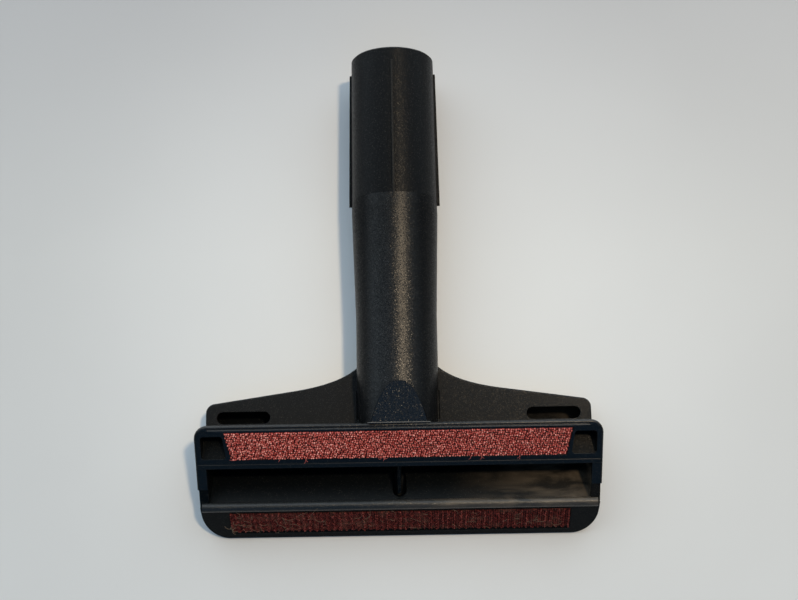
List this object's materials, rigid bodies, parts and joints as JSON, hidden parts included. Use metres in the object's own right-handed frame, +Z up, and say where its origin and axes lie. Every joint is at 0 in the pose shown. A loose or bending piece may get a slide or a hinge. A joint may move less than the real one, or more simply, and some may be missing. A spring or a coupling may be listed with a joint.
{
  "type": "vacuum upholstery nozzle",
  "caption": "Wide flat suction nozzle with a round wand socket, a fishtail neck, a long slot in a slanted sole and velour lint strips on both lands.",
  "frame": {"origin": "centre of the wand socket's mouth, on the tube's axis", "axes": "+Y along the tube and out of the socket's mouth, +X along the suction slot, +Z up from the back to the sole, with the nozzle lying on its back"},
  "size_m": [0.1908, 0.2338, 0.0431],
  "materials": {
    "black_plastic": "fine spark-eroded grain, satin on the edges",
    "bright_red_velour": "coarse directional pile",
    "dark_red_velour": "fuzzy pile with lint"
  },
  "bodies": {
    "root": {"nozzle_body": "black_plastic", "upper_lint_strip": "bright_red_velour", "lower_lint_strip": "dark_red_velour"}
  },
  "joints": []
}
